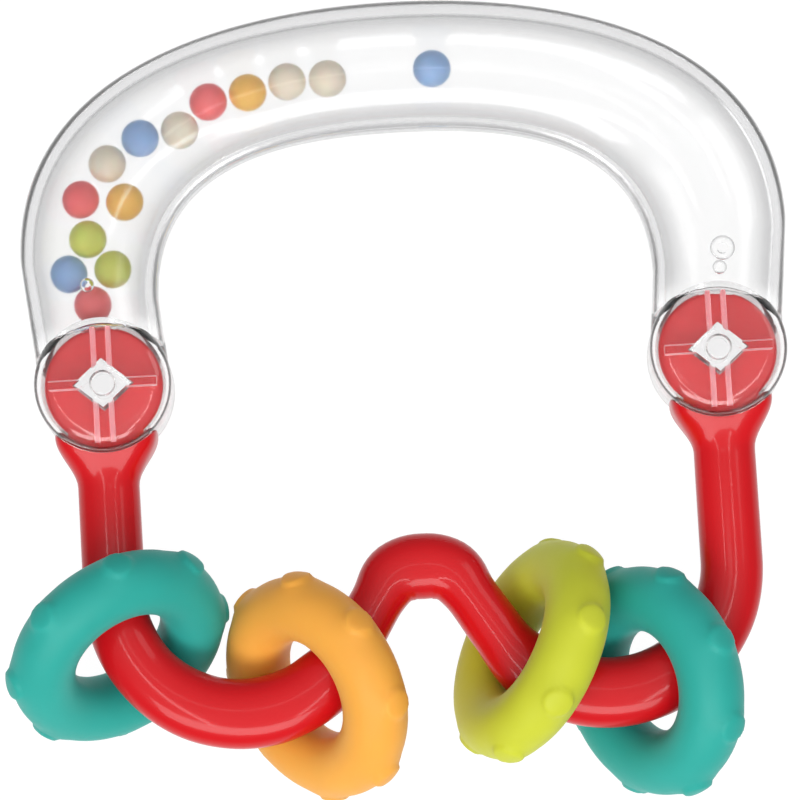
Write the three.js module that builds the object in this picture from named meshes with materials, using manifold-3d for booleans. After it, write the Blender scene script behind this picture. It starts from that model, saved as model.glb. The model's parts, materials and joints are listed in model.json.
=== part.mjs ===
// Baby rattle: a clear arch full of loose beads, a wavy bar held by the arch's two round ends, and
// four soft rings with nubs threaded on the bar. Millimetres, +Z up, resting on a table at Z = 0.
//
// The toy is drawn in its own plane: X across, Y from the rings to the crown of the arch, Z through
// its thickness, with the origin midway between the two hubs. It is then leaned by LEAN, because
// the rings hold the bar higher than the arch when the toy lies on a table.
import * as THREE from "three";
import { mergeVertices } from "three/addons/utils/BufferGeometryUtils.js";
import Module from "manifold-3d";

// ---- driving dimensions -------------------------------------------------------------------------
const GAP = 0.3; // clearance between pieces that touch
const FAR = 80; // beyond the toy on every side: the half size of a block that trims it
const LEAN = THREE.MathUtils.degToRad(4.6); // the bar's end sits higher than the arch's crown

// Clear arch
const HUB_X = 52.4; // hub centres lie at X = +-HUB_X, Y = 0
const THICK = 19; // front to back
const WALL = 2.2;
const EDGE = 9; // rounding of the tube's section
const LEG_CUT_Y = 2.5; // the tube ends here, inside the lobe
const OUTER = { x: 65.7, footX: 63.7, straightY: 22.3, topY: 63.9, rise: 31.6, run: 31.5 };
const INNER = { x: 42.4, footX: 41.2, straightY: 14.2, topY: 41.5, rise: 24.8, run: 18.4 };

// Round lobes at the ends of the arch
const LOBE_R = 11.7;
const LOBE_FILLET = 3.4;
const PARTITION_R = 11.2; // the wall between the bead chamber and the bar's pocket
const POCKET_R = 10.4;
const POCKET_HALF = 4.4; // half depth of the slot for the bar's eye
const RELIEF_R = 8.6;
const RELIEF_HALF = 7.3; // half depth between the ribs
const NECK_HALF = 7.3; // half width of the mouth that the bar comes out of
const POST_R = 4.9; // to a corner of the square post that keys the bar
const RIB = { apart: 2.6, thick: 0.8, level: 1.6 }; // two upright ribs side by side, one level rib
const PIN_R = 2;
const PIN_TOP = 6;
const GATE = { x: 54, y: 16.6, r: 2.2, deep: 0.5, nibR: 1 }; // moulding mark on each half

// Bar
const LEG_X = 52.6;
const BAR_HALF = 4.7; // half thickness through the toy
const BAR_EDGE = 4.3; // rounding of the bar's section
const VALLEY = { x: 31.2, y: -35.65, r: 21.4 }; // centre line of the two big bends
const SLOPE = THREE.MathUtils.degToRad(57.5);
const PEAK = { y: -33.7, r: 6.8 };
const BAR_TOP_Y = -14;
const BAR_STEP = 4; // length of a facet round its bends
const SHOULDER = {
  half: 8.7,
  topHalf: 8.2,
  pull: 4, // how far its side curves run straight
  r: 12,
  brimY: -8.6,
  footY: -17,
  footHalf: 5.2,
  halfThick: 7,
  edge: 3,
};
const EYE_R = 10.1;
const EYE_HALF = 4.05;
const EYE_NECK = 6.9; // half width of the neck between shoulder and eye
const EYE_NECK_FOOT_Y = -12.6;

// Rings: a round section swept round a circle, with flat-topped nubs on the outside
const RING_R = 14.15;
const RING_SECTION = 5.5;
const NUB_COUNT = 8;
const NUB = { r: 2.4, rootR: 2.9, rise: 0.9, sunk: 1.8 };
// turn: heading of the ring's level diameter; tip: angle of its axis off Z; phase: the first nub
const RINGS = [
  { name: "ring_teal_left", at: [-52.4, -44.3, 0.95], turn: 31.8, tip: 57.7, phase: 22, colour: 0x2fa89a },
  { name: "ring_orange", at: [-19.2, -53.2, 0.6], turn: -63.4, tip: 53.5, phase: 14, colour: 0xeaa84a },
  { name: "ring_lime", at: [17.6, -49.1, 1.3], turn: -115.5, tip: 65.1, phase: 22, colour: 0xc3cc3c },
  { name: "ring_teal_right", at: [38, -55.5, 0.15], turn: -75.9, tip: 52, phase: 7, colour: 0x2fa89a },
];

// Beads lie on the floor of the chamber
const BEAD_R = 3.3;
const BEAD_Z = -3.2;
const BEAD_COLOUR = { red: 0xd9565c, blue: 0x6f97cf, lime: 0xb5bf55, orange: 0xdfa94f, cream: 0xddd3c2 };
const BEADS = [
  ["red", -53.9, 14.8],
  ["blue", -57.8, 20.4],
  ["lime", -50.1, 20.8],
  ["lime", -54.2, 26.3],
  ["red", -55.1, 33.3],
  ["orange", -47.5, 32.4],
  ["cream", -50.2, 39.3],
  ["blue", -44.3, 43.4],
  ["cream", -37.4, 44.4],
  ["red", -32.2, 49.1],
  ["orange", -25.3, 50.3],
  ["cream", -18.4, 51.8],
  ["cream", -11.4, 51.9],
  ["blue", 6.7, 52.6],
];

// ---- helpers ------------------------------------------------------------------------------------
const wasm = await Module();
wasm.setup();

// A closed three.js geometry as a manifold solid.
function solid(geometry) {
  const bare = geometry.clone();
  bare.deleteAttribute("normal");
  bare.deleteAttribute("uv");
  const merged = mergeVertices(bare, 1e-4);
  const index = merged.index.array;
  const triVerts = [];
  for (let i = 0; i < index.length; i += 3) {
    const [a, b, c] = index.slice(i, i + 3);
    if (a !== b && b !== c && a !== c) triVerts.push(a, b, c); // drops the slivers at a pole
  }
  const vertProperties = merged.attributes.position.array;
  const mesh = new wasm.Mesh({ numProp: 3, vertProperties, triVerts: new Uint32Array(triVerts) });
  return new wasm.Manifold(mesh);
}

// A manifold solid as a named three.js mesh of one material.
function piece(name, made, material) {
  const { numProp, vertProperties, triVerts } = made.getMesh();
  const geometry = new THREE.BufferGeometry();
  const position = new Float32Array((vertProperties.length / numProp) * 3);
  for (let i = 0; i < position.length / 3; i++) {
    position.set(vertProperties.subarray(i * numProp, i * numProp + 3), i * 3);
  }
  geometry.setAttribute("position", new THREE.BufferAttribute(position, 3));
  geometry.setIndex(new THREE.BufferAttribute(triVerts, 1));
  geometry.computeVertexNormals();
  const mesh = new THREE.Mesh(geometry, material);
  mesh.name = name;
  return mesh;
}

const union = (parts) => parts.reduce((all, part) => all.add(part));

// A cylinder along Z from z0 to z1 at x, y.
function rod(r, z0, z1, x, y, sides = 20) {
  const geometry = new THREE.CylinderGeometry(r, r, z1 - z0, sides);
  return solid(geometry.rotateX(Math.PI / 2).translate(x, y, (z0 + z1) / 2));
}

// A box between two corners.
function block([x0, y0, z0], [x1, y1, z1]) {
  const geometry = new THREE.BoxGeometry(x1 - x0, y1 - y0, z1 - z0);
  return solid(geometry.translate((x0 + x1) / 2, (y0 + y1) / 2, (z0 + z1) / 2));
}

// An outline in the toy's plane with a rounded edge all round, inset all over, moved along X.
function pillow(shape, thickness, edge, { inset = 0, steps = 4, curves = 10, x = 0 } = {}) {
  const round = edge - inset;
  const depth = thickness - 2 * edge;
  const geometry = new THREE.ExtrudeGeometry(shape, {
    depth,
    bevelEnabled: true,
    bevelSize: round,
    bevelThickness: round,
    bevelOffset: -edge,
    bevelSegments: steps,
    curveSegments: curves,
  });
  return solid(geometry.translate(x, 0, -depth / 2));
}

const plastic = (color, roughness, opacity = 1) =>
  new THREE.MeshStandardMaterial({ color, roughness, metalness: 0, opacity, transparent: opacity < 1 });

// ---- clear arch ---------------------------------------------------------------------------------
// One edge of the arch, from a leg's foot on this side over the crown to the other foot.
function archEdge(shape, { x, footX, straightY, topY, rise, run }, side) {
  const controlY = straightY + rise;
  shape.lineTo(side * footX, LEG_CUT_Y);
  shape.lineTo(side * x, straightY);
  shape.bezierCurveTo(side * x, controlY, side * run, topY, 0, topY);
  shape.bezierCurveTo(-side * run, topY, -side * x, controlY, -side * x, straightY);
  shape.lineTo(-side * footX, LEG_CUT_Y);
  shape.lineTo(-side * footX, -EDGE);
}

// The arch seen from the front: two straight legs, and one curve each side up to the crown.
function archShape() {
  const shape = new THREE.Shape();
  shape.moveTo(OUTER.footX, -EDGE);
  archEdge(shape, OUTER, 1);
  shape.lineTo(-INNER.footX, -EDGE);
  archEdge(shape, INNER, -1);
  return shape;
}

// One round lobe with a flat face and a rounded rim, solid.
function lobe(x) {
  const profile = [new THREE.Vector2(0, -THICK / 2)];
  for (let i = 0; i <= 3; i++) {
    const a = (i / 3) * (Math.PI / 2);
    const r = LOBE_R - LOBE_FILLET + LOBE_FILLET * Math.sin(a);
    profile.push(new THREE.Vector2(r, -THICK / 2 + LOBE_FILLET - LOBE_FILLET * Math.cos(a)));
  }
  const mirrored = profile.map((p) => new THREE.Vector2(p.x, -p.y)).reverse();
  const geometry = new THREE.LatheGeometry([...profile, ...mirrored], 32);
  return solid(geometry.rotateX(Math.PI / 2).translate(x, 0, 0));
}

// The hub post, or the hole for it: a square with a corner on each axis.
const hubPost = (x, cornerR) => rod(cornerR, -THICK, THICK, x, 0, 4);

// What is cut out of a lobe for the bar's eye: the slot, its mouth, and the recess between the ribs.
function lobeSpace(x) {
  const mouthY = -LOBE_R - 1;
  const slot = rod(POCKET_R, -POCKET_HALF, POCKET_HALF, x, 0, 28);
  const mouth = block([x - NECK_HALF, mouthY, -POCKET_HALF], [x + NECK_HALF, 0, POCKET_HALF]);
  const upright = (at) => block([at - RIB.thick / 2, -LOBE_R, -THICK], [at + RIB.thick / 2, LOBE_R, THICK]);
  const ribs = [
    upright(x - RIB.apart / 2),
    upright(x + RIB.apart / 2),
    block([x - LOBE_R, -RIB.level / 2, -THICK], [x + LOBE_R, RIB.level / 2, THICK]),
  ];
  const between = rod(RELIEF_R, -RELIEF_HALF, RELIEF_HALF, x, 0, 28).subtract(union(ribs));
  return union([slot, mouth, between]).subtract(hubPost(x, POST_R));
}

// The moulding mark: a shallow dish with a nib in it, on the face at height sign * THICK / 2.
function gateMark(x, sign) {
  const dish = (r, low, high, sides) => {
    const [z0, z1] = sign > 0 ? [low, high] : [-high, -low];
    return rod(r, z0, z1, x, GATE.y, sides);
  };
  const floor = THICK / 2 - GATE.deep;
  return dish(GATE.r, floor, floor + 2, 14).subtract(dish(GATE.nibR, floor - 1, floor + 3, 8));
}

const HUBS = [-HUB_X, HUB_X];

function archHalves() {
  const shape = archShape();
  const legsUp = block([-FAR, LEG_CUT_Y, -FAR], [FAR, FAR, FAR]);
  const partitions = union(HUBS.map((x) => rod(PARTITION_R, -THICK, THICK, x, 0, 28)));
  const chamber = pillow(shape, THICK, EDGE, { inset: WALL }).intersect(legsUp).subtract(partitions);
  const whole = pillow(shape, THICK, EDGE)
    .intersect(legsUp)
    .add(union(HUBS.map(lobe)))
    .subtract(chamber)
    .subtract(union(HUBS.map(lobeSpace)));

  const marks = (sign) => union([-GATE.x, GATE.x].map((x) => gateMark(x, sign)));
  const rods = (r, z0, z1) => union(HUBS.map((x) => rod(r, z0, z1, x, 0, 14)));
  const front = whole
    .intersect(block([-FAR, -FAR, GAP / 2], [FAR, FAR, FAR]))
    .subtract(rods(PIN_R + GAP, 0, PIN_TOP + GAP))
    .subtract(marks(1));
  const rear = whole
    .intersect(block([-FAR, -FAR, -FAR], [FAR, FAR, -GAP / 2]))
    .add(rods(PIN_R, -1, PIN_TOP))
    .subtract(marks(-1));
  return { front, rear };
}

// ---- bar ----------------------------------------------------------------------------------------
// Centre line of the bar from the top of its left leg to the top of its right leg.
function barLine() {
  const turn = Math.PI / 2 + SLOPE;
  const valleyEndY = VALLEY.y - VALLEY.r * Math.cos(SLOPE);
  const valleyEndX = VALLEY.x - VALLEY.r * Math.sin(SLOPE);
  const peakStartY = PEAK.y - PEAK.r + PEAK.r * Math.cos(SLOPE);
  const peakStartX = valleyEndX - (peakStartY - valleyEndY) / Math.tan(SLOPE);
  const peakX = peakStartX - PEAK.r * Math.sin(SLOPE);
  const peakY = PEAK.y - PEAK.r;
  const line = new THREE.Path();
  line.moveTo(-LEG_X, BAR_TOP_Y);
  line.lineTo(-LEG_X, VALLEY.y);
  line.absarc(-VALLEY.x, VALLEY.y, VALLEY.r, Math.PI, Math.PI + turn, false);
  line.absarc(-peakX, peakY, PEAK.r, Math.PI / 2 + SLOPE, Math.PI / 2, true);
  line.absarc(peakX, peakY, PEAK.r, Math.PI / 2, Math.PI / 2 - SLOPE, true);
  line.absarc(VALLEY.x, VALLEY.y, VALLEY.r, 2 * Math.PI - turn, 2 * Math.PI, false);
  line.lineTo(LEG_X, BAR_TOP_Y);
  return line;
}

// Half width of the bar in the toy's plane, by distance from the crest of its peak, along the bar.
const HALF_WIDTHS = [
  [0, 5.6],
  [4, 5.5],
  [11, 4.55],
  [18, 4.7],
  [28, 5.8],
  [38, 6.0],
  [48, 5.9],
  [64, 5.5],
  [74, 5.3],
  [110, 5.2],
];

function halfWidth(distance) {
  const next = Math.max(1, HALF_WIDTHS.findIndex(([at]) => at >= distance));
  const [[a, wa], [b, wb]] = [HALF_WIDTHS[next - 1], HALF_WIDTHS[next]];
  return THREE.MathUtils.lerp(wa, wb, THREE.MathUtils.smoothstep(distance, a, b));
}

// The bar's outline: its centre line widened to both sides. Straight stretches need only their ends.
function barShape() {
  const line = barLine();
  const crest = line.getLength() / 2;
  const [left, right] = [[], []];
  let passed = 0;
  for (const curve of line.curves) {
    const length = curve.getLength();
    if (length < 0.01) continue; // an arc that starts where the last stretch ended
    const steps = curve.isLineCurve ? 1 : Math.round(length / BAR_STEP);
    for (let i = curve === line.curves[0] ? 0 : 1; i <= steps; i++) {
      const p = curve.getPointAt(i / steps);
      const t = curve.getTangentAt(i / steps);
      const w = halfWidth(Math.abs(passed + (i / steps) * length - crest));
      left.push(new THREE.Vector2(p.x - t.y * w, p.y + t.x * w));
      right.push(new THREE.Vector2(p.x + t.y * w, p.y - t.x * w));
    }
    passed += length;
  }
  return new THREE.Shape([...left, ...right.reverse()]);
}

// The shoulder under a lobe: flared from the leg, hollowed to follow the lobe.
function shoulder(x) {
  const { half, topHalf, pull, r, brimY, footY, footHalf, halfThick, edge } = SHOULDER;
  const shape = new THREE.Shape();
  shape.moveTo(footHalf, footY);
  shape.bezierCurveTo(footHalf, footY + pull, half, brimY - pull, half, brimY);
  shape.lineTo(topHalf, 0);
  shape.lineTo(-topHalf, 0);
  shape.lineTo(-half, brimY);
  shape.bezierCurveTo(-half, brimY - pull, -footHalf, footY + pull, -footHalf, footY);
  const solidShoulder = pillow(shape, 2 * halfThick, edge, { steps: 2, curves: 6, x });
  return solidShoulder.subtract(rod(r, -THICK, THICK, x, 0, 36));
}

// The bar with a shoulder and a pierced eye at each end.
function bar() {
  const ends = HUBS.flatMap((x) => [
    shoulder(x),
    rod(EYE_R, -EYE_HALF, EYE_HALF, x, 0, 28),
    block([x - EYE_NECK, EYE_NECK_FOOT_Y, -EYE_HALF], [x + EYE_NECK, 0, EYE_HALF]),
  ]);
  const holes = HUBS.map((x) => hubPost(x, POST_R + GAP * Math.SQRT2));
  const wave = pillow(barShape(), 2 * BAR_HALF, BAR_EDGE, { steps: 2 });
  return wave.add(union(ends)).subtract(union(holes));
}

// ---- rings and beads ----------------------------------------------------------------------------
// A ring lying flat at the origin, with its first nub on the X axis.
function ring() {
  const hoop = solid(new THREE.TorusGeometry(RING_R, RING_SECTION, 12, 28));
  const outer = RING_R + RING_SECTION;
  const nubs = [];
  for (let i = 0; i < NUB_COUNT; i++) {
    const height = NUB.rise + NUB.sunk;
    const nub = new THREE.CylinderGeometry(NUB.r, NUB.rootR, height, 8).rotateZ(-Math.PI / 2);
    nub.translate(outer + NUB.rise - height / 2, 0, 0);
    nubs.push(solid(nub.rotateZ((i / NUB_COUNT) * 2 * Math.PI)));
  }
  return hoop.add(union(nubs));
}

function ringMesh({ name, at, turn, tip, phase, colour }) {
  const mesh = piece(name, ring(), plastic(colour, 0.55));
  const [spin, lean, head] = [phase, tip, turn].map(THREE.MathUtils.degToRad);
  mesh.position.set(...at);
  mesh.rotation.set(lean, 0, head, "ZXY");
  mesh.rotateZ(spin);
  return mesh;
}

function beadMesh([colour, x, y], i) {
  const made = solid(new THREE.SphereGeometry(BEAD_R, 10, 6).rotateX(Math.PI / 2));
  const number = String(i + 1).padStart(2, "0");
  const mesh = piece(`bead_${number}_${colour}`, made, plastic(BEAD_COLOUR[colour], 0.3));
  mesh.position.set(x, y, BEAD_Z);
  return mesh;
}

// ---- assembly -----------------------------------------------------------------------------------
const { front, rear } = archHalves();
const clear = plastic(0xf2f4f5, 0.08, 0.3);

const toy = new THREE.Group();
toy.add(
  piece("arch_front_shell", front, clear),
  piece("arch_rear_shell", rear, clear.clone()),
  piece("teether_bar", bar(), plastic(0xd01c24, 0.18)),
  ...RINGS.map(ringMesh),
  ...BEADS.map(beadMesh),
);
toy.rotation.x = -LEAN;

// Origin at the middle of the bottom of the toy's box.
toy.updateMatrixWorld(true);
const box = new THREE.Box3().setFromObject(toy, true);
toy.position.set(-(box.min.x + box.max.x) / 2, -(box.min.y + box.max.y) / 2, -box.min.z);

const rattle = new THREE.Group();
rattle.add(toy);

export default rattle;
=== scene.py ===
"""A baby rattle on its back: a clear hollow arch with loose beads, a wavy red bar and four nubbed rings.

Every piece is made in the toy's own frame, in millimetres: X across, Y from the rings to the crown of the
arch, Z through the toy, with the origin midway between the two hubs. TOY carries it to the row frame.
"""

import json
import math

import bmesh
import bpy
from mathutils import Matrix, Vector

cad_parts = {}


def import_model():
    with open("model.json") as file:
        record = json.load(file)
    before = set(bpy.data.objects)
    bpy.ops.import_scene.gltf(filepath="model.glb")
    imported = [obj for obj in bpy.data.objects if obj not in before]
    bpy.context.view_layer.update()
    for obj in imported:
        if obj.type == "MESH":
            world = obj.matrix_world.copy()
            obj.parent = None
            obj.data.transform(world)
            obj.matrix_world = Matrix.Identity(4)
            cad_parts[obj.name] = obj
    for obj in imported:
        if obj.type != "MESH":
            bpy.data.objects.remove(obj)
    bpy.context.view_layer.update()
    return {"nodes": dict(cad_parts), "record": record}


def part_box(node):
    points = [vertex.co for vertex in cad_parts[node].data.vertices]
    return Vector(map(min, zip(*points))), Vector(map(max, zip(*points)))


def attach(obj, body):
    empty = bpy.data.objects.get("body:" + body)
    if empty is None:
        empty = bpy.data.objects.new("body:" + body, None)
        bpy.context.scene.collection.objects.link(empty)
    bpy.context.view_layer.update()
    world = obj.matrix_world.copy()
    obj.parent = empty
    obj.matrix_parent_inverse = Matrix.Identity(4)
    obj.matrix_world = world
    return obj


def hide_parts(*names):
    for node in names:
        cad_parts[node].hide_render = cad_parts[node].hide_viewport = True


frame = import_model()

# ---- the toy's frame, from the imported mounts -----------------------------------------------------
MM = 0.001
mounts = {m["name"]: m for m in frame["record"]["mounts"]}


def lobe_faces(side):
    return [Vector(mounts[f"{side}_lobe_{face}"]["pos_m"]) for face in ("back", "front")]


def hub(side):
    back, front = lobe_faces(side)
    return (back + front) / 2


HUBS = [hub("left"), hub("right")]
toy_z = Vector(mounts["left_lobe_front"]["axis"]).normalized()
toy_x = (HUBS[1] - HUBS[0]).normalized()
toy_y = toy_z.cross(toy_x)
toy_origin = (HUBS[0] + HUBS[1]) / 2
TOY = Matrix.Translation(toy_origin) @ Matrix((toy_x, toy_y, toy_z)).transposed().to_4x4()
TO_ROW = TOY @ Matrix.Scale(MM, 4)

# ---- dimensions, millimetres ---------------------------------------------------------------------
HUB_X = (HUBS[1] - HUBS[0]).length / MM / 2
THICK = (lobe_faces("left")[1] - lobe_faces("left")[0]).length / MM
WALL = 2.2
TUBE_ROUND = 2.35  # power of its oval section
LEG_CUT_Y = 2.5
OUTER = {"x": 65.7, "foot_x": 63.7, "straight_y": 22.3, "top_y": 63.9, "rise": 31.6, "run": 31.5}
INNER = {"x": 42.4, "foot_x": 41.2, "straight_y": 14.2, "top_y": 41.5, "rise": 24.8, "run": 18.4}
SEAM = 0.03  # half the hairline between the welded shells

LOBE_R = 11.7
LOBE_FILLET = 3.4
LOBE_REACH = 14.5  # from a hub's middle to the rounded rim of its lobe, through the thickness
PARTITION_R = 11.2
POCKET_R = 10.4
POCKET_HALF = 4.4
RELIEF_HALF = 7.3
RELIEF_FILLET = 2.1
NECK_HALF = 7.3
POST_R = 4.9  # to a corner of the square post that keys the bar
POST_SQUASH = 0.86
POST_PLAY = 0.35
RIB_APART = 2.6
RIB_THICK = 0.8
RIB_REACH = 9.7
SLOT_PLAY = 0.4  # how far past the ribs' ends the slot for the eye is cut through them
RIB_LEVEL = {"thick": 1.5, "reach": 9.0}
PIN_R = 2.0
PIN_TOP = 6.0
PIN_EDGE = 0.4
PIN_PLAY = 0.25
GATE = {
    "x": 54.0,
    "y": 16.6,
    "r": 2.1,
    "deep": 0.85,
    "shallow": 0.4,
    "nib": 0.9,
    "pip_r": 1.2,
    "pip_in": 0.7,
    "pip_down": 3.3,
}

LEG_X = 52.6
BAR_HALF = 4.7
VALLEY = {"x": 31.2, "y": -35.65, "r": 21.4}
SLOPE = math.radians(57.5)
PEAK = {"y": -33.7, "r": 6.8}
BAR_STEP = 0.8
BAR_ROUND = 2.25  # power of its oval section
SHOULDER_ROUND = 4.5
# half width of the bar, by distance from the crest of its peak
HALF_WIDTHS = [
    (0, 5.6),
    (4, 5.5),
    (11, 4.55),
    (18, 4.7),
    (28, 5.8),
    (38, 6.0),
    (48, 5.9),
    (64, 5.5),
    (74, 5.3),
    (110, 5.2),
]
SHOULDER = {"half": 8.7, "half_thick": 7.0, "foot_y": -17.0, "brim_y": -8.6, "r": 11.82}
EYE_R = 10.1
EYE_HALF = 4.05
EYE_NECK = 6.3
EYE_NECK_FOOT_Y = -12.6
EYE_EDGE = 0.6

RING_R = 14.15
RING_SECTION = 5.5
NUB_COUNT = 8
NUB = {"r": 2.2, "edge": 0.55, "disc": 0.45, "mound": 0.5, "mound_r": 5.0}
# turn: heading of the ring's level diameter; tip: angle of its axis off Z; phase: the first nub
RINGS = {
    "ring_teal_left": {"turn": 31.8, "tip": 57.7, "phase": 22},
    "ring_orange": {"turn": -63.4, "tip": 53.5, "phase": 14},
    "ring_lime": {"turn": -115.5, "tip": 65.1, "phase": 22},
    "ring_teal_right": {"turn": -75.9, "tip": 52, "phase": 7},
}

BEAD_EDGE = 0.04  # how proud a bead's parting line is
WELD = 0.004  # corners nearer than this become one


# ---- mesh helpers --------------------------------------------------------------------------------
def make_object(name, vertices, faces):
    mesh = bpy.data.meshes.new(name)
    mesh.from_pydata(vertices, [], faces)
    mesh.update()
    obj = bpy.data.objects.new(name, mesh)
    bpy.context.scene.collection.objects.link(obj)
    return obj


def loft(name, sections):
    """A closed solid through rings of points, with a flat cap at each end."""
    count = len(sections[0])
    faces = []
    for i in range(len(sections) - 1):
        for j in range(count):
            a, b = i * count + j, i * count + (j + 1) % count
            faces.append((a, b, b + count, a + count))
    last = (len(sections) - 1) * count
    faces.append(tuple(reversed(range(count))))
    faces.append(tuple(range(last, last + count)))
    obj = make_object(name, [p for section in sections for p in section], faces)
    face_out(obj)
    return obj


def face_out(obj):
    made = bmesh.new()
    made.from_mesh(obj.data)
    bmesh.ops.recalc_face_normals(made, faces=made.faces)
    made.to_mesh(obj.data)
    made.free()


def lathe(name, profile, x=0.0, y=0.0, steps=72):
    """A solid turned about Z through x, y from (radius, z) points that start and end on the axis."""
    vertices = [(x, y, profile[0][1])]
    for r, z in profile[1:-1]:
        for k in range(steps):
            a = 2 * math.pi * k / steps
            vertices.append((x + r * math.cos(a), y + r * math.sin(a), z))
    vertices.append((x, y, profile[-1][1]))
    faces = []
    rows = len(profile) - 2
    for k in range(steps):
        n = (k + 1) % steps
        faces.append((0, 1 + n, 1 + k))
        for row in range(rows - 1):
            a, b = 1 + row * steps + k, 1 + row * steps + n
            faces.append((a, b, b + steps, a + steps))
        top = 1 + (rows - 1) * steps
        faces.append((len(vertices) - 1, top + k, top + n))
    obj = make_object(name, vertices, faces)
    face_out(obj)
    return obj


def arc(cx, cy, r, a0, a1, steps):
    """Points round an arc, angles in degrees."""
    angles = [math.radians(a0 + (a1 - a0) * i / steps) for i in range(steps + 1)]
    return [(cx + r * math.cos(a), cy + r * math.sin(a)) for a in angles]


def disc(name, r, z0, z1, x=0.0, y=0.0, bottom=0.0, top=0.0, steps=72):
    """A cylinder with a rounded lower and upper rim, each with a row of points just inside it."""
    inside = 0.97
    profile = [(0, z0)]
    if bottom:
        profile += [((r - bottom) * inside, z0), *arc(r - bottom, z0 + bottom, bottom, -90, 0, 8)]
    else:
        profile += [(r, z0)]
    if top:
        profile += [*arc(r - top, z1 - top, top, 0, 90, 8), ((r - top) * inside, z1)]
    else:
        profile += [(r, z1)]
    return lathe(name, [*profile, (0, z1)], x, y, steps)


def block(name, low, high):
    (x0, y0, z0), (x1, y1, z1) = low, high
    corners = [(x, y, z) for z in (z0, z1) for x, y in ((x0, y0), (x1, y0), (x1, y1), (x0, y1))]
    sides = [(i, (i + 1) % 4, (i + 1) % 4 + 4, i + 4) for i in range(4)]
    return make_object(name, corners, [(3, 2, 1, 0), (4, 5, 6, 7), *sides])


def oval(half_w, half_h, power, steps=48):
    """A section between an ellipse (power 2) and a rectangle (a high power), counter-clockwise."""
    points = []
    for k in range(steps):
        a = 2 * math.pi * (k + 0.5) / steps
        c, d = math.cos(a), math.sin(a)
        across = half_w * math.copysign(abs(c) ** (2 / power), c)
        through = half_h * math.copysign(abs(d) ** (2 / power), d)
        points.append((across, through))
    return points


def combine(target, operation, *tools):
    """Joins or cuts solids, and removes the tools."""
    for tool in tools:
        modifier = target.modifiers.new("combine", "BOOLEAN")
        modifier.operation = operation
        modifier.solver = "MANIFOLD"
        modifier.object = tool
        settled(target)
        bpy.data.objects.remove(tool)
    return target


def settled(obj):
    """Applies an object's modifiers to its mesh."""
    bpy.context.view_layer.update()
    graph = bpy.context.evaluated_depsgraph_get()
    made = bpy.data.meshes.new_from_object(obj.evaluated_get(graph))
    obj.modifiers.clear()
    obj.data = made
    return obj


def copy_of(obj, name):
    twin = bpy.data.objects.new(name, obj.data.copy())
    bpy.context.scene.collection.objects.link(twin)
    return twin


def finish_piece(obj, node, material, body, matrix=TO_ROW, crease=32):
    """Cleans the mesh, carries it to the row frame and gives it its material, slot and body.

    Edges that turn by more than crease, in degrees, stay sharp.
    """
    made = bmesh.new()
    made.from_mesh(obj.data)
    bmesh.ops.remove_doubles(made, verts=made.verts, dist=WELD)
    bmesh.ops.dissolve_degenerate(made, edges=made.edges, dist=WELD)
    bmesh.ops.triangulate(made, faces=[f for f in made.faces if len(f.verts) > 4])
    for edge in made.edges:
        edge.smooth = edge.calc_face_angle(0) < math.radians(crease)
    for face in made.faces:
        face.smooth = True
    made.transform(matrix)
    made.to_mesh(obj.data)
    made.free()
    obj.data.materials.clear()
    obj.data.materials.append(material)
    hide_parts(node)
    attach(obj, body)
    return obj


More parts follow.
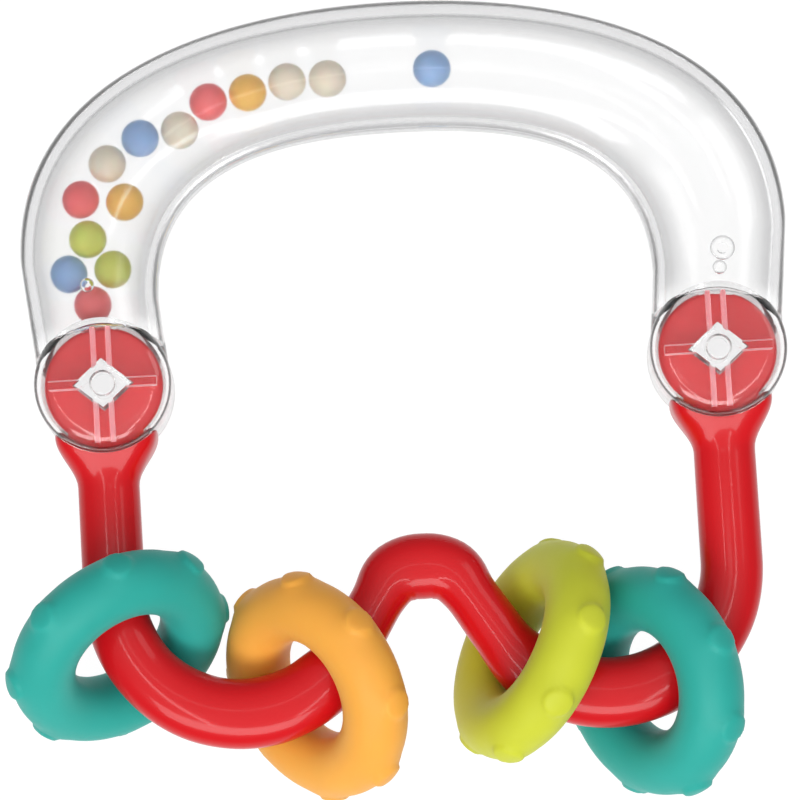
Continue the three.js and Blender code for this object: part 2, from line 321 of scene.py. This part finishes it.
# ---- material helpers ----------------------------------------------------------------------------
class Shader:
    """A Principled material with short calls for the nodes it uses."""

    def __init__(self, name, **values):
        self.material = bpy.data.materials.new(name)
        self.material.use_nodes = True
        self.tree = self.material.node_tree
        self.bsdf = self.tree.nodes["Principled BSDF"]
        self.set(**values)
        self.place = self.tree.nodes.new("ShaderNodeTexCoord").outputs["Object"]

    def set(self, **values):
        """Values on the shader's own sockets, each named with _ for a space."""
        for key, value in values.items():
            self.bsdf.inputs[key.replace("_", " ")].default_value = value

    def noise(self, scale, detail=2.0, roughness=0.5):
        node = self.tree.nodes.new("ShaderNodeTexNoise")
        node.inputs["Scale"].default_value = scale
        node.inputs["Detail"].default_value = detail
        node.inputs["Roughness"].default_value = roughness
        self.tree.links.new(self.place, node.inputs["Vector"])
        return node.outputs["Fac"]

    def ramp(self, factor, low, high, ends=(0.3, 0.7)):
        node = self.tree.nodes.new("ShaderNodeValToRGB")
        node.color_ramp.elements[0].position = ends[0]
        node.color_ramp.elements[1].position = ends[1]
        node.color_ramp.elements[0].color = (*low, 1)
        node.color_ramp.elements[1].color = (*high, 1)
        self.tree.links.new(factor, node.inputs["Fac"])
        return node.outputs["Color"]

    def spread(self, factor, low, high):
        node = self.tree.nodes.new("ShaderNodeMapRange")
        node.inputs["To Min"].default_value = low
        node.inputs["To Max"].default_value = high
        self.tree.links.new(factor, node.inputs["Value"])
        return node.outputs["Result"]

    def bump(self, height, strength, distance):
        node = self.tree.nodes.new("ShaderNodeBump")
        node.inputs["Strength"].default_value = strength
        node.inputs["Distance"].default_value = distance
        self.tree.links.new(height, node.inputs["Height"])
        self.feed("Normal", node.outputs["Normal"])

    def around(self, points, reach, blur, inside, outside):
        """One value within reach of any of the points, and another beyond it."""
        nearest = None
        for point in points:
            node = self.tree.nodes.new("ShaderNodeVectorMath")
            node.operation = "DISTANCE"
            node.inputs[1].default_value = point
            self.tree.links.new(self.place, node.inputs[0])
            distance = node.outputs["Value"]
            if nearest is not None:
                least = self.tree.nodes.new("ShaderNodeMath")
                least.operation = "MINIMUM"
                self.tree.links.new(nearest, least.inputs[0])
                self.tree.links.new(distance, least.inputs[1])
                distance = least.outputs["Value"]
            nearest = distance
        node = self.tree.nodes.new("ShaderNodeMapRange")
        node.inputs["From Min"].default_value = reach - blur
        node.inputs["From Max"].default_value = reach + blur
        node.inputs["To Min"].default_value = inside
        node.inputs["To Max"].default_value = outside
        self.tree.links.new(nearest, node.inputs["Value"])
        return node.outputs["Result"]

    def painted_rim_shade(self, face_on, grazing, ends, where):
        """Painted shade in the tint of clear plastic: darker where it is looked through at a slant, there
        only.
        """
        facing = self.tree.nodes.new("ShaderNodeLayerWeight")
        facing.inputs["Blend"].default_value = 0.5
        node = self.tree.nodes.new("ShaderNodeMath")
        node.operation = "MULTIPLY"
        self.tree.links.new(facing.outputs["Facing"], node.inputs[0])
        self.tree.links.new(where, node.inputs[1])
        return self.ramp(node.outputs["Value"], face_on, grazing, ends)

    def absorb(self, tint, density):
        """Light lost inside the piece: density per metre, less of it in the channels of the tint."""
        node = self.tree.nodes.new("ShaderNodeVolumeAbsorption")
        node.inputs["Color"].default_value = (*tint, 1)
        node.inputs["Density"].default_value = density
        self.tree.links.new(node.outputs["Volume"], self.tree.nodes["Material Output"].inputs["Volume"])

    def feed(self, socket, output):
        self.tree.links.new(output, self.bsdf.inputs[socket])


def shade(colour, factor):
    return tuple(min(1.0, c * factor) for c in colour)


PLASTIC_TINT = (0.0, 0.01, 0.04)
PLASTIC_DENSITY = 7  # per metre


def clear_plastic():
    made = Shader("clear_plastic", IOR=1.42, Transmission_Weight=1.0)
    # painted shade: the tint darkens at a slant in full along the tube, and only a tenth as much within the
    # lobes
    tube = made.around(HUBS, LOBE_REACH * MM, 1.0 * MM, 0.1, 1)
    made.feed("Base Color", made.painted_rim_shade((0.998, 0.998, 0.998), (0.7, 0.7, 0.705), (0.05, 0.38), tube))
    made.feed("Roughness", made.spread(made.noise(900, 3), 0.09, 0.13))
    made.bump(made.noise(140, 1), 0.05, 0.0005)
    made.absorb(PLASTIC_TINT, PLASTIC_DENSITY)
    return made.material


def dull_plastic_painted_glow():
    """The same plastic where the mould isn't polished, which scatters light; the red eye's light on it is
    painted, as a pink tint and a faint pinkish glow.
    """
    made = Shader("dull_plastic_painted_glow", IOR=1.42, Transmission_Weight=0.5)
    # painted light: a faint pinkish glow, for the red eye's light gathered in the ribs
    made.set(Emission_Color=(1.0, 0.35, 0.4, 1), Emission_Strength=0.2)
    # painted light: the pink in this tint is the red eye's light; the near-white under it is the dull
    # plastic's own
    made.feed("Base Color", made.ramp(made.noise(300), (1.0, 0.84, 0.85), (1.0, 0.92, 0.93)))
    made.feed("Roughness", made.spread(made.noise(900, 3), 0.35, 0.45))
    made.bump(made.noise(700, 2), 0.1, 0.0002)
    made.absorb(PLASTIC_TINT, PLASTIC_DENSITY)
    return made.material


def red_plastic():
    """Glossy red, with painted light: paler on the eyes inside the lobes, where less light reaches them
    through the clear shell.
    """
    red, eye_red_painted_light = (0.52, 0.004, 0.008), (0.76, 0.03, 0.036)
    made = Shader("red_plastic", IOR=1.5, Specular_IOR_Level=0.12, Coat_Weight=0.3, Coat_Roughness=0.09)
    # painted light: paler red within the shoulder's radius of each hub, making up for the eyes getting less
    # light inside the lobes
    eyes = made.around(HUBS, SHOULDER["r"] * MM, 0.2 * MM, 1, 0)
    made.feed("Base Color", made.ramp(eyes, red, eye_red_painted_light, (0.0, 1.0)))
    made.feed("Roughness", made.spread(made.noise(300, 2), 0.28, 0.34))
    made.bump(made.noise(60, 1), 0.03, 0.0003)
    return made.material


def silicone(name, colour):
    made = Shader(name, IOR=1.43, Specular_IOR_Level=0.3, Sheen_Weight=0.05)
    scatter = tuple(0.3 + 0.7 * c for c in colour)
    made.set(Subsurface_Weight=0.35, Subsurface_Radius=scatter, Subsurface_Scale=0.003)
    made.feed("Base Color", made.ramp(made.noise(70), shade(colour, 0.97), shade(colour, 1.03)))
    made.feed("Roughness", made.spread(made.noise(1200, 3), 0.45, 0.58))
    made.bump(made.noise(1500, 2), 0.06, 0.00012)
    return made.material


def bead_plastic(name, colour):
    made = Shader(name, IOR=1.5, Specular_IOR_Level=0.3, Subsurface_Weight=0.3, Subsurface_Scale=0.0015)
    made.feed("Base Color", made.ramp(made.noise(250), shade(colour, 0.96), shade(colour, 1.04)))
    made.feed("Roughness", made.spread(made.noise(1500, 2), 0.4, 0.5))
    made.bump(made.noise(900, 2), 0.08, 0.0001)
    return made.material


# ---- clear arch ----------------------------------------------------------------------------------
def edge_point(edge, t):
    """A point on one edge of the arch, on the right side: t 0 at the leg's foot, 1 at the crown."""
    leg_share = 0.2
    foot = Vector((edge["foot_x"], LEG_CUT_Y, 0))
    knee = Vector((edge["x"], edge["straight_y"], 0))
    if t <= leg_share:
        return foot.lerp(knee, t / leg_share)
    u = (t - leg_share) / (1 - leg_share)
    handle = Vector((edge["x"], edge["straight_y"] + edge["rise"], 0))
    crown_handle = Vector((edge["run"], edge["top_y"], 0))
    crown = Vector((0, edge["top_y"], 0))
    v = 1 - u
    return knee * v**3 + handle * (3 * v * v * u) + crown_handle * (3 * v * u * u) + crown * u**3


def arch_tube(name, inset, steps=64):
    """The arch as a solid tube from foot to foot, inset all over."""
    stations = [i / steps for i in range(steps + 1)]
    sections = []
    for side, order in ((1, stations), (-1, stations[-2::-1])):
        for t in order:
            out, into = edge_point(OUTER, t), edge_point(INNER, t)
            out.x *= side
            into.x *= side
            middle, across = (out + into) / 2, (out - into) / 2
            half = across.length
            across.normalize()
            section = oval(half - inset, THICK / 2 - inset, TUBE_ROUND, 96)
            sections.append([middle + across * p + Vector((0, 0, q)) for p, q in section])
    return loft(name, sections)


def both(make):
    """One solid at each hub, from a function of the hub's x."""
    return [make(-HUB_X), make(HUB_X)]


def hub_post(x, corner_r):
    """The hub post, or the hole for it: a low diamond with a corner on each axis."""
    post = disc("post", corner_r, -THICK, THICK, x, steps=4)
    for vertex in post.data.vertices:
        vertex.co.y *= POST_SQUASH
    return post


def rib(x, half_x, half_y):
    """A rib across a lobe, from one face to the other."""
    return block("rib", (x - half_x, -half_y, -THICK), (x + half_x, half_y, THICK))


def lobe_cut(x):
    """What is cut out of a lobe for the bar's eye, with the ribs and the hub post left standing."""
    fillet = RELIEF_FILLET
    space = disc("space", POCKET_R, -RELIEF_HALF, RELIEF_HALF, x, 0, fillet, fillet, 96)
    uprights = [rib(x + off, RIB_THICK / 2, RIB_REACH) for off in (-RIB_APART / 2, RIB_APART / 2)]
    combine(space, "DIFFERENCE", rib(x, RIB_LEVEL["reach"], RIB_LEVEL["thick"] / 2), *uprights)
    slot = disc("slot", RIB_REACH + SLOT_PLAY, -POCKET_HALF, POCKET_HALF, x, steps=96)
    mouth = block("mouth", (x - NECK_HALF, -LOBE_R - 1, -POCKET_HALF), (x + NECK_HALF, 0, POCKET_HALF))
    combine(space, "UNION", slot, mouth)
    return combine(space, "DIFFERENCE", hub_post(x, POST_R))


def frost_and_painted_glow(shell, material):
    """Gives the sides of the ribs and the feet of the uprights the dull plastic: a dull finish, with a
    painted pinkish glow and tint.
    """
    shell.data.materials.append(material)
    back = TO_ROW.inverted()
    turn = TOY.to_3x3().inverted()
    near, square = 0.1, 0.99
    for face in shell.data.polygons:
        at = back @ face.center
        faces = turn @ face.normal
        across = abs(at.x) - HUB_X
        from_hub = math.hypot(across, at.y)
        in_relief = POCKET_HALF - near < abs(at.z) < RELIEF_HALF - near
        between = PIN_R + 0.5 < from_hub < POCKET_R - 0.6
        under_upright = abs(abs(across) - RIB_APART / 2) < (RIB_THICK + near) / 2
        upright_foot = abs(faces.z) > square and under_upright
        rib_side = max(abs(faces.x), abs(faces.y)) > square
        if in_relief and between and (upright_foot or rib_side):
            face.material_index = 1


def gate_marks():
    """Moulding marks on the front: a bowl with a nib and a pip on the right leg, and a pip on the left."""
    x, y, deep = GATE["x"], GATE["y"], GATE["deep"]
    low, high = THICK / 2 - deep, THICK / 2 + 1
    bowl = disc("gate", GATE["r"], low, high, x, y, deep, steps=40)
    combine(bowl, "DIFFERENCE", disc("nib", GATE["nib"], low - 1, high + 1, x, y))
    pips = [(-x, y), (x - GATE["pip_in"], y - GATE["pip_down"])]
    return [bowl, *(disc("pip", GATE["pip_r"], low, high, px, py, deep, steps=32) for px, py in pips)]


def ejector_marks():
    """A shallow round dent on each leg at the back."""
    low, high = -THICK / 2 - 1, -THICK / 2 + GATE["shallow"]
    return [disc("dent", GATE["r"], low, high, side * GATE["x"], GATE["y"], steps=40) for side in (-1, 1)]


def lobe(x):
    return disc("lobe", LOBE_R, -THICK / 2, THICK / 2, x, 0, LOBE_FILLET, LOBE_FILLET, 96)


def partition(x):
    return disc("partition", PARTITION_R, -THICK, THICK, x, steps=96)


def pin(x):
    return disc("pin", PIN_R, -1, PIN_TOP, x, top=PIN_EDGE, steps=40)


def pin_socket(x):
    return disc("socket", PIN_R + PIN_PLAY, -1, PIN_TOP + PIN_PLAY, x, steps=40)


def arch_shells():
    front = arch_tube("arch_front", 0)
    combine(front, "UNION", *both(lobe))
    chamber = combine(arch_tube("chamber", WALL), "DIFFERENCE", *both(partition))
    combine(front, "DIFFERENCE", chamber, *both(lobe_cut))

    far = 90
    rear = copy_of(front, "arch_rear")
    combine(front, "DIFFERENCE", block("half", (-far, -far, -far), (far, far, SEAM)))
    combine(rear, "DIFFERENCE", block("half", (-far, -far, -SEAM), (far, far, far)))
    combine(front, "DIFFERENCE", *both(pin_socket))
    combine(rear, "UNION", *both(pin))
    combine(front, "DIFFERENCE", *gate_marks())
    combine(rear, "DIFFERENCE", *ejector_marks())
    # the dull plastic carries painted light: a pinkish glow and tint
    polished, dull = clear_plastic(), dull_plastic_painted_glow()
    for shell, node in ((front, "arch_front_shell"), (rear, "arch_rear_shell")):
        frost_and_painted_glow(finish_piece(shell, node, polished, "arch_and_bar"), dull)


# ---- bar -----------------------------------------------------------------------------------------
def smooth(t):
    t = min(1.0, max(0.0, t))
    return t * t * (3 - 2 * t)


def half_width(distance):
    for (a, wa), (b, wb) in zip(HALF_WIDTHS, HALF_WIDTHS[1:]):
        if distance <= b:
            return wa + (wb - wa) * smooth((distance - a) / (b - a))
    return HALF_WIDTHS[-1][1]


def right_half_line():
    """Centre line of the bar's right half, as (point, distance along it), from the crest to the eye."""
    rise, run = math.cos(SLOPE), math.sin(SLOPE)
    valley_end = Vector((VALLEY["x"] - VALLEY["r"] * run, VALLEY["y"] - VALLEY["r"] * rise))
    peak_y = PEAK["y"] - PEAK["r"]
    start_y = peak_y + PEAK["r"] * rise
    start_x = valley_end.x - (start_y - valley_end.y) / math.tan(SLOPE)
    peak_x = start_x - PEAK["r"] * run

    def line(a, b):
        count = max(1, round((b - a).length / BAR_STEP))
        return [a.lerp(b, i / count) for i in range(1, count + 1)]

    def bend(cx, cy, r, a0, a1):
        count = round(math.radians(abs(a1 - a0)) * r / BAR_STEP)
        return [Vector(p) for p in arc(cx, cy, r, a0, a1, count)][1:]

    slope = math.degrees(SLOPE)
    crest = Vector((0, peak_y + PEAK["r"]))
    points = [crest]
    points += line(crest, Vector((peak_x, crest.y)))
    points += bend(peak_x, peak_y, PEAK["r"], 90, 90 - slope)
    points += line(points[-1], valley_end)
    points += bend(VALLEY["x"], VALLEY["y"], VALLEY["r"], 270 - slope, 360)
    points += line(points[-1], Vector((LEG_X, SHOULDER["foot_y"])))
    points += line(points[-1], Vector((HUB_X, 0)))
    passed = 0.0
    out = [(points[0], 0.0)]
    for a, b in zip(points, points[1:]):
        passed += (b - a).length
        out.append((b, passed))
    return out


def bar_sections():
    right = right_half_line()
    left = [(Vector((-p.x, p.y)), -s) for p, s in reversed(right[1:])]
    stations = left + right
    sections = []
    for i, (p, s) in enumerate(stations):
        before, after = stations[max(0, i - 1)][0], stations[min(len(stations) - 1, i + 1)][0]
        along = (after - before).normalized()
        across = Vector((along.y, -along.x, 0))
        leg = smooth((p.y - SHOULDER["foot_y"]) / (SHOULDER["brim_y"] - SHOULDER["foot_y"]))
        leg = leg if abs(p.x) > VALLEY["x"] else 0.0
        half = half_width(abs(s)) * (1 - leg) + SHOULDER["half"] * leg
        through = BAR_HALF * (1 - leg) + SHOULDER["half_thick"] * leg
        power = BAR_ROUND * (1 - leg) + SHOULDER_ROUND * leg
        middle = Vector((p.x, p.y, 0))
        sections.append([middle + across * a + Vector((0, 0, b)) for a, b in oval(half, through, power)])
    return sections


def bar():
    made = loft("bar", bar_sections())
    for x in (-HUB_X, HUB_X):
        combine(made, "DIFFERENCE", disc("hollow", SHOULDER["r"], -THICK, THICK, x, steps=96))
        eye = disc("eye", EYE_R, -EYE_HALF, EYE_HALF, x, 0, EYE_EDGE, EYE_EDGE)
        neck = block("neck", (x - EYE_NECK, EYE_NECK_FOOT_Y, -EYE_HALF), (x + EYE_NECK, 0, EYE_HALF))
        combine(made, "UNION", eye, neck)
        combine(made, "DIFFERENCE", hub_post(x, POST_R + POST_PLAY))
    finish_piece(made, "teether_bar", red_plastic(), "arch_and_bar")


# ---- rings ---------------------------------------------------------------------------------------
def crowded(count, share):
    """Steps from -1 to 1, closest together at 0: share is how much of an even step is left there."""
    steps = [2 * i / count - 1 for i in range(count)]
    return [share * u + (1 - share) * u**3 for u in steps]


def raised(distance):
    """How far a nub raises the ring's surface, by distance from the nub's axis: a mound with a disc on it."""
    mound_top = NUB["r"] - 1
    mound = NUB["mound"] * (1 - smooth((distance - mound_top) / (NUB["mound_r"] - mound_top)))
    disc_part = NUB["disc"] * (1 - smooth((distance - NUB["r"]) / NUB["edge"]))
    return mound + disc_part


def nubbed_ring(name, sector_steps=26, section_steps=56):
    """A round section swept round a circle, with flat-topped nubs raised out of its outside."""
    sector = math.pi / NUB_COUNT
    across = [sector * u for u in crowded(sector_steps, 0.35)]
    around = [math.pi * u for u in crowded(section_steps, 0.45)]
    vertices = []
    for k in range(NUB_COUNT):
        for off in across:
            a = 2 * sector * k + off
            out = Vector((math.cos(a), math.sin(a), 0))
            for b in around:
                reach = RING_R + RING_SECTION * math.cos(b)
                up = RING_SECTION * math.sin(b)
                distance = math.hypot(reach * math.sin(off), up)
                lift = raised(distance) if math.cos(b) > 0 else 0.0
                normal = out * math.cos(b) + Vector((0, 0, math.sin(b)))
                vertices.append(out * reach + Vector((0, 0, up)) + normal * lift)
    major = NUB_COUNT * sector_steps
    faces = []
    for i in range(major):
        a, b = i * section_steps, ((i + 1) % major) * section_steps
        for j in range(section_steps):
            k = (j + 1) % section_steps
            faces.append((a + j, b + j, b + k, a + k))
    obj = make_object(name, vertices, faces)
    face_out(obj)
    return obj


RING_COLOURS = {
    "ring_teal": (0.018, 0.32, 0.275),
    "ring_orange": (0.74, 0.34, 0.05),
    "ring_lime": (0.49, 0.52, 0.03),
}


def ring(node, material):
    made = nubbed_ring(node.replace("ring", "loop"))
    low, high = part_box(node)
    pose = RINGS[node]
    turn, tip, phase = (math.radians(pose[key]) for key in ("turn", "tip", "phase"))
    spin = Matrix.Rotation(turn, 4, "Z") @ Matrix.Rotation(tip, 4, "X") @ Matrix.Rotation(phase, 4, "Z")
    place = Matrix.Translation((low + high) / 2) @ TOY.to_3x3().to_4x4() @ spin @ Matrix.Scale(MM, 4)
    finish_piece(made, node, material, node, place, crease=80)


# ---- beads ---------------------------------------------------------------------------------------
BEAD_COLOURS = {
    "red": (0.98, 0.17, 0.18),
    "blue": (0.31, 0.49, 0.80),
    "lime": (0.66, 0.71, 0.13),
    "orange": (0.97, 0.55, 0.12),
    "cream": (0.85, 0.765, 0.62),
}


def bead(node, material):
    """A moulded ball with a faint parting line round it, and a speck where it left its runner."""
    low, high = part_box(node)
    r = (high.x - low.x) / MM / 2
    ball_r = r - BEAD_EDGE
    profile = [(0, -r)]
    rows = 24
    for i in range(1, rows):
        a = math.radians(-90 + 180 * i / rows)
        reach = r if i == rows // 2 else ball_r
        profile.append((reach * math.cos(a), ball_r * math.sin(a)))
    profile.append((0, ball_r))
    made = lathe(node.replace("bead", "ball"), profile, steps=40)
    seed = int(node.split("_")[1])
    tumble = Matrix.Rotation(seed * 1.3, 4, "X") @ Matrix.Rotation(seed * 0.7, 4, "Y")
    place = Matrix.Translation((low + high) / 2) @ tumble @ Matrix.Scale(MM, 4)
    finish_piece(made, node, material, node, place)


# ---- studio --------------------------------------------------------------------------------------
VIEW_TILT = math.radians(7.0)  # the camera looks along an axis this far off the toy's normal
VIEW_ROLL = math.radians(3.37)
VIEW_AT = (-2.14, -5.01)
VIEW_DISTANCE = 900
VIEW_WIDTH = 136.75  # what the picture spans at that distance
SENSOR = 36.0


def camera():
    back = (toy_z * math.cos(VIEW_TILT) - toy_y * math.sin(VIEW_TILT)).normalized()
    up0 = (toy_y - back * toy_y.dot(back)).normalized()
    right0 = up0.cross(back)
    right = right0 * math.cos(VIEW_ROLL) - up0 * math.sin(VIEW_ROLL)
    up = right0 * math.sin(VIEW_ROLL) + up0 * math.cos(VIEW_ROLL)
    target = TO_ROW @ Vector((*VIEW_AT, 0))
    data = bpy.data.cameras.new("camera")
    data.sensor_width = SENSOR
    data.lens = SENSOR * VIEW_DISTANCE / VIEW_WIDTH
    data.clip_start = 0.01
    made = bpy.data.objects.new("camera", data)
    turn = Matrix((right, up, back)).transposed().to_4x4()
    made.matrix_world = Matrix.Translation(target + back * VIEW_DISTANCE * MM) @ turn
    bpy.context.scene.collection.objects.link(made)
    bpy.context.scene.camera = made


# the floor's own light: full out to the first distance from the middle, in metres, and dimmer from the second
FLOOR_GLOW = {"From Min": 0.11, "From Max": 0.26, "To Min": 0.97, "To Max": 0.5}


def floor():
    """A pale sweep, lit from below round the toy and dimmer away from it."""
    half = 4.0
    corners = [(-half, -half, 0), (half, -half, 0), (half, half, 0), (-half, half, 0)]
    made = make_object("floor", corners, [(0, 1, 2, 3)])
    material = bpy.data.materials.new("floor")
    material.use_nodes = True
    tree = material.node_tree
    bsdf = tree.nodes["Principled BSDF"]
    bsdf.inputs["Base Color"].default_value = (0.08, 0.08, 0.08, 1)
    bsdf.inputs["Roughness"].default_value = 0.9
    bsdf.inputs["Specular IOR Level"].default_value = 0.0
    bsdf.inputs["Emission Color"].default_value = (1, 1, 1, 1)
    place = tree.nodes.new("ShaderNodeTexCoord")
    reach = tree.nodes.new("ShaderNodeVectorMath")
    reach.operation = "LENGTH"
    glow = tree.nodes.new("ShaderNodeMapRange")
    glow.interpolation_type = "SMOOTHSTEP"
    for socket, value in FLOOR_GLOW.items():
        glow.inputs[socket].default_value = value
    tree.links.new(place.outputs["Object"], reach.inputs[0])
    tree.links.new(reach.outputs["Value"], glow.inputs["Value"])
    tree.links.new(glow.outputs["Result"], bsdf.inputs["Emission Strength"])
    made.data.materials.append(material)


def softbox(name, place, aim, size, power):
    data = bpy.data.lights.new(name, "AREA")
    data.shape = "RECTANGLE"
    data.size, data.size_y = size
    data.energy = power
    made = bpy.data.objects.new(name, data)
    made.location = place
    made.rotation_euler = (Vector(aim) - Vector(place)).to_track_quat("-Z", "Y").to_euler()
    bpy.context.scene.collection.objects.link(made)


def world():
    """A soft dome: dim round the horizon and brightest straight overhead."""
    made = bpy.data.worlds.new("studio")
    made.use_nodes = True
    tree = made.node_tree
    background = tree.nodes["Background"]
    place = tree.nodes.new("ShaderNodeTexCoord")
    split = tree.nodes.new("ShaderNodeSeparateXYZ")
    ramp = tree.nodes.new("ShaderNodeValToRGB")
    levels = ramp.color_ramp.elements
    levels[0].position, levels[0].color = 0.0, (0.32, 0.32, 0.32, 1)
    levels[1].position, levels[1].color = 1.0, (1.0, 1.0, 1.0, 1)
    for height, level in ((0.6, 0.45), (0.88, 0.8)):
        levels.new(height).color = (level, level, level, 1)
    tree.links.new(place.outputs["Generated"], split.inputs["Vector"])
    tree.links.new(split.outputs["Z"], ramp.inputs["Fac"])
    tree.links.new(ramp.outputs["Color"], background.inputs["Color"])
    bpy.context.scene.world = made


def studio():
    bpy.context.scene.view_settings.view_transform = "Standard"
    world()
    floor()
    softbox("key", (-0.15, -0.75, 0.85), (0, 0, 0), (1.1, 0.5), 10)
    softbox("fill", (0.55, 0.35, 0.75), (0, 0, 0), (0.4, 0.4), 1.0)
    for x in (-0.25, 0.25):
        softbox("strip", (x, -0.2, 1.1), (x, -0.1, 0), (0.05, 0.8), 1.2)
    softbox("cross strip", (0, 0.15, 1.1), (0, -0.05, 0), (0.18, 0.03), 0.05)


# ---- the scene -----------------------------------------------------------------------------------
camera()
arch_shells()
bar()
silicones = {slot: silicone(slot, colour) for slot, colour in RING_COLOURS.items()}
for node in RINGS:
    slot = "_".join(node.split("_")[:2])
    ring(node, silicones[slot])
bead_plastics = {name: bead_plastic("bead_" + name, colour) for name, colour in BEAD_COLOURS.items()}
for node in sorted(n for n in frame["nodes"] if n.startswith("bead_")):
    bead(node, bead_plastics[node.split("_")[2]])
studio()
